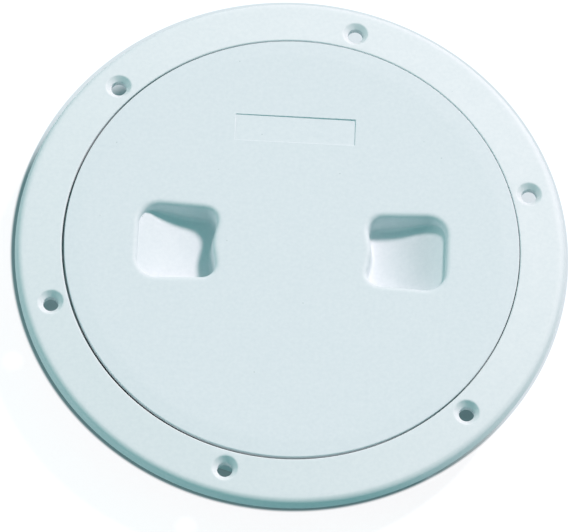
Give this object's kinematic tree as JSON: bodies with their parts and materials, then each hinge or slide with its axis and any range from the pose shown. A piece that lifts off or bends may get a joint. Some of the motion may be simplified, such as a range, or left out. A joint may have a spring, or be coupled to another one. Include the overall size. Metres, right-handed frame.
{
  "type": "deck inspection plate",
  "caption": "Round screw-out deck inspection plate: flanged ring with countersunk screw holes, threaded lid with finger recesses, and flat rubber seal.",
  "frame": {"origin": "centre of the screw circle, in the plane of the flange's underside, which lies on the deck", "axes": "+Z out of the deck, along the plate's axis; +X through the two finger recesses of the closed lid"},
  "size_m": [0.203, 0.203, 0.0255],
  "materials": {
    "white_plastic": "satin, moulded, cool white",
    "seal_rubber": "smooth, matte black"
  },
  "bodies": {
    "ring": {"mounting_ring": "white_plastic"},
    "seal": {"seal_ring": "seal_rubber"},
    "lid": {"lid": "white_plastic"}
  },
  "joints": [
    {"name": "lid_lift", "type": "slide", "parent": "ring", "child": "seal", "axis": [0, 0, 1], "range_m": [0, 0.005]},
    {"name": "lid_turn", "type": "hinge", "parent": "seal", "child": "lid", "pos_m": [0, 0, 0], "axis": [0, 0, 1], "range_deg": [0, 360]}
  ],
  "couplings": [
    {"joint": "lid_lift", "follows": "lid_turn", "m_per_rad": 0.00079577}
  ]
}
